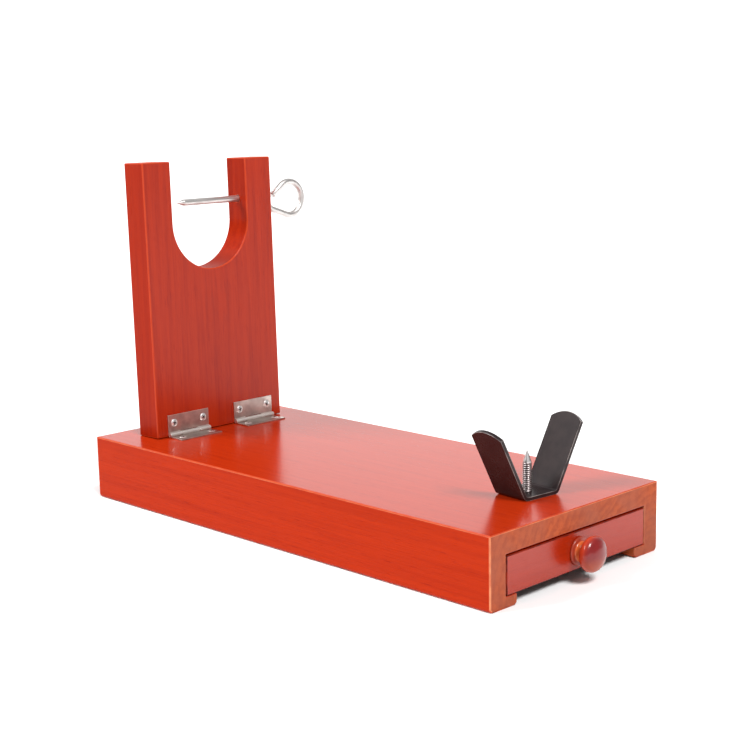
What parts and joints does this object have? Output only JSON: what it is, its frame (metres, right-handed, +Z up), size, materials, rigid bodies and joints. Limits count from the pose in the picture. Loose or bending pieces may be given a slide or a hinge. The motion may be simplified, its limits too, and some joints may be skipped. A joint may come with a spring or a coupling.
{
  "type": "ham holder stand",
  "caption": "Wooden ham holder: a base with a knife drawer, a folding notched upright with a skewer through it, and a black steel V rest with a spike.",
  "frame": {"origin": "middle of the base's footprint, on the table", "axes": "+Z up; +Y along the base from the drawer end to the upright; +X to the side that the skewer's eye stands out of"},
  "size_m": [0.1938, 0.4172, 0.257],
  "materials": {
    "red_lacquer": "wood stained red-orange under clear gloss lacquer",
    "knob_lacquer": "turned wood stained dark red under a thick gloss lacquer",
    "pale_wood": "plain sanded wood",
    "nickel": "nickel-plated pressed steel",
    "bright_steel": "bright zinc-plated steel",
    "black_paint": "black satin stoving paint"
  },
  "bodies": {
    "base": {"base_block": "red_lacquer", "v_rest": "black_paint", "spike_screw": "bright_steel", "left_hinge_base_leaf": "nickel", "right_hinge_base_leaf": "nickel", "hinge_base_screws": "bright_steel"},
    "upright": {"upright_board": "red_lacquer", "left_hinge_board_leaf": "nickel", "right_hinge_board_leaf": "nickel", "left_hinge_pin": "bright_steel", "right_hinge_pin": "bright_steel", "hinge_board_screws": "bright_steel"},
    "skewer": {"skewer": "bright_steel"},
    "drawer": {"drawer_front": "red_lacquer", "drawer_left_side": "pale_wood", "drawer_right_side": "pale_wood", "drawer_back": "pale_wood", "drawer_bottom": "pale_wood", "drawer_brads": "bright_steel", "drawer_knob": "knob_lacquer", "knob_screw": "nickel"}
  },
  "joints": [
    {"name": "upright_fold", "type": "hinge", "parent": "base", "child": "upright", "pos_m": [0.0015, 0.152, 0.05], "axis": [1, 0, 0], "range_deg": [0, 91]},
    {"name": "skewer_slide", "type": "slide", "parent": "upright", "child": "skewer", "axis": [1, 0, 0], "range_m": [0, 0.09]},
    {"name": "drawer_slide", "type": "slide", "parent": "base", "child": "drawer", "axis": [0, -1, 0], "range_m": [0, 0.25]}
  ]
}
